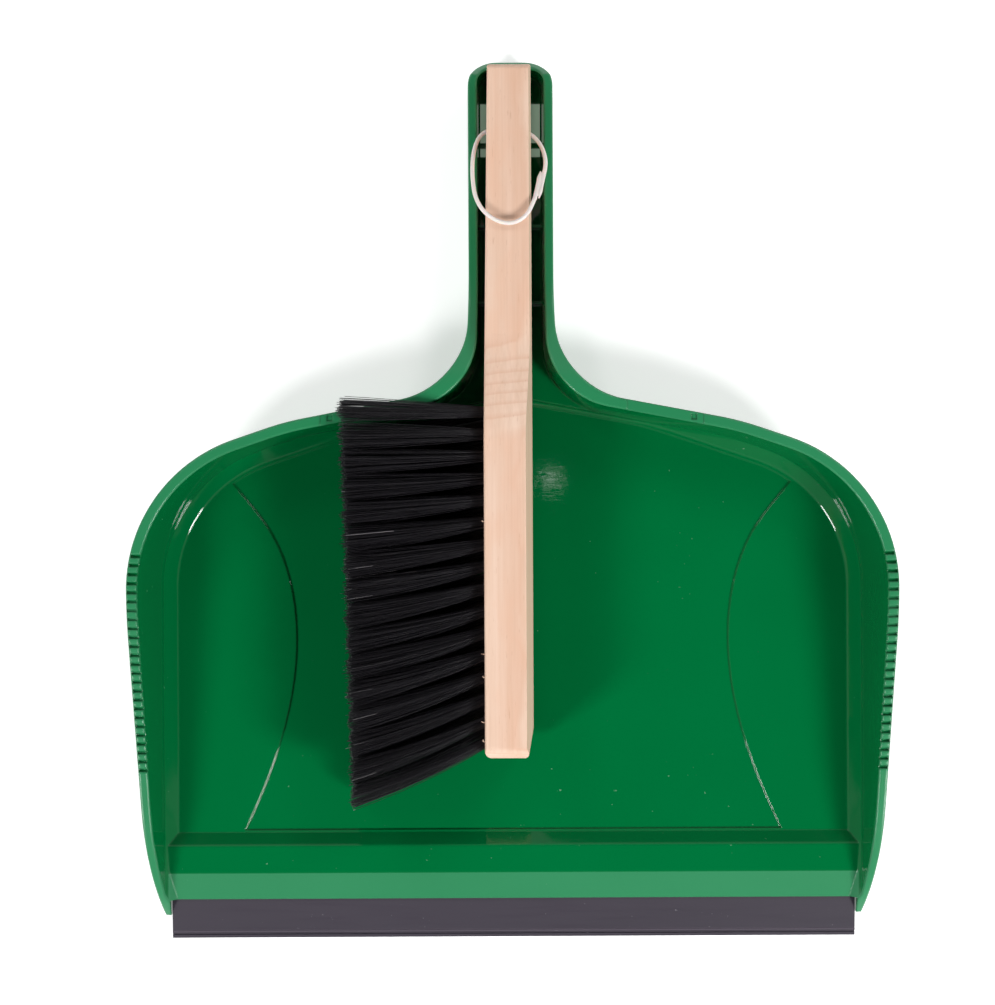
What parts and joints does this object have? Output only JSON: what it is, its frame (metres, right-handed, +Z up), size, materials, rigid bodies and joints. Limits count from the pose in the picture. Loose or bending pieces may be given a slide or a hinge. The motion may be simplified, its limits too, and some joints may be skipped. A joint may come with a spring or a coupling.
{
  "type": "dust pan and brush set",
  "caption": "Wide green dust pan with combed side rims, rubber front lip and channel handle, holding a wooden hand brush with black bristles and a hanging loop.",
  "frame": {"origin": "on the surface the set stands on, under the middle of its box", "axes": "+Y from the front lip towards the handle's end, +X across to the right seen from above, +Z up"},
  "size_m": [0.3252, 0.3776, 0.0555],
  "materials": {
    "pan_plastic": "satin gloss polypropylene",
    "lip_rubber": "matt soft rubber",
    "beech": "untreated sanded beech",
    "bristle": "black bristle filaments",
    "cord_white": "smooth soft plastic cord",
    "anchor_steel": "flat wire"
  },
  "bodies": {
    "pan": {"pan_body": "pan_plastic", "rubber_lip": "lip_rubber"},
    "brush": {"brush_stock": "beech", "anchors_row_1": "anchor_steel", "anchors_row_2": "anchor_steel", "anchors_row_3": "anchor_steel", "tuft_r1_01": "bristle", "tuft_r1_02": "bristle", "tuft_r1_03": "bristle", "tuft_r1_04": "bristle", "tuft_r1_05": "bristle", "tuft_r1_06": "bristle", "tuft_r1_07": "bristle", "tuft_r1_08": "bristle", "tuft_r1_09": "bristle", "tuft_r1_10": "bristle", "tuft_r1_11": "bristle", "tuft_r1_12": "bristle", "tuft_r1_13": "bristle", "tuft_r1_14": "bristle", "tuft_r1_15": "bristle", "tuft_r1_16": "bristle", "tuft_r2_01": "bristle", "tuft_r2_02": "bristle", "tuft_r2_03": "bristle", "tuft_r2_04": "bristle", "tuft_r2_05": "bristle", "tuft_r2_06": "bristle", "tuft_r2_07": "bristle", "tuft_r2_08": "bristle", "tuft_r2_09": "bristle", "tuft_r2_10": "bristle", "tuft_r2_11": "bristle", "tuft_r2_12": "bristle", "tuft_r2_13": "bristle", "tuft_r2_14": "bristle", "tuft_r2_15": "bristle", "tuft_r3_01": "bristle", "tuft_r3_02": "bristle", "tuft_r3_03": "bristle", "tuft_r3_04": "bristle", "tuft_r3_05": "bristle", "tuft_r3_06": "bristle", "tuft_r3_07": "bristle", "tuft_r3_08": "bristle", "tuft_r3_09": "bristle", "tuft_r3_10": "bristle", "tuft_r3_11": "bristle", "tuft_r3_12": "bristle", "tuft_r3_13": "bristle", "tuft_r3_14": "bristle", "tuft_r3_15": "bristle", "tuft_r3_16": "bristle"},
    "loop": {"hang_cord": "cord_white", "cord_joint": "cord_white"}
  },
  "joints": [
    {"name": "brush_lift", "type": "slide", "parent": "pan", "child": "brush", "axis": [0, 0, 1], "range_m": [0, 0.1]},
    {"name": "loop_swing", "type": "hinge", "parent": "brush", "child": "loop", "pos_m": [0, 0.1585, 0.03], "axis": [-1, 0, 0], "range_deg": [0, 150]}
  ]
}
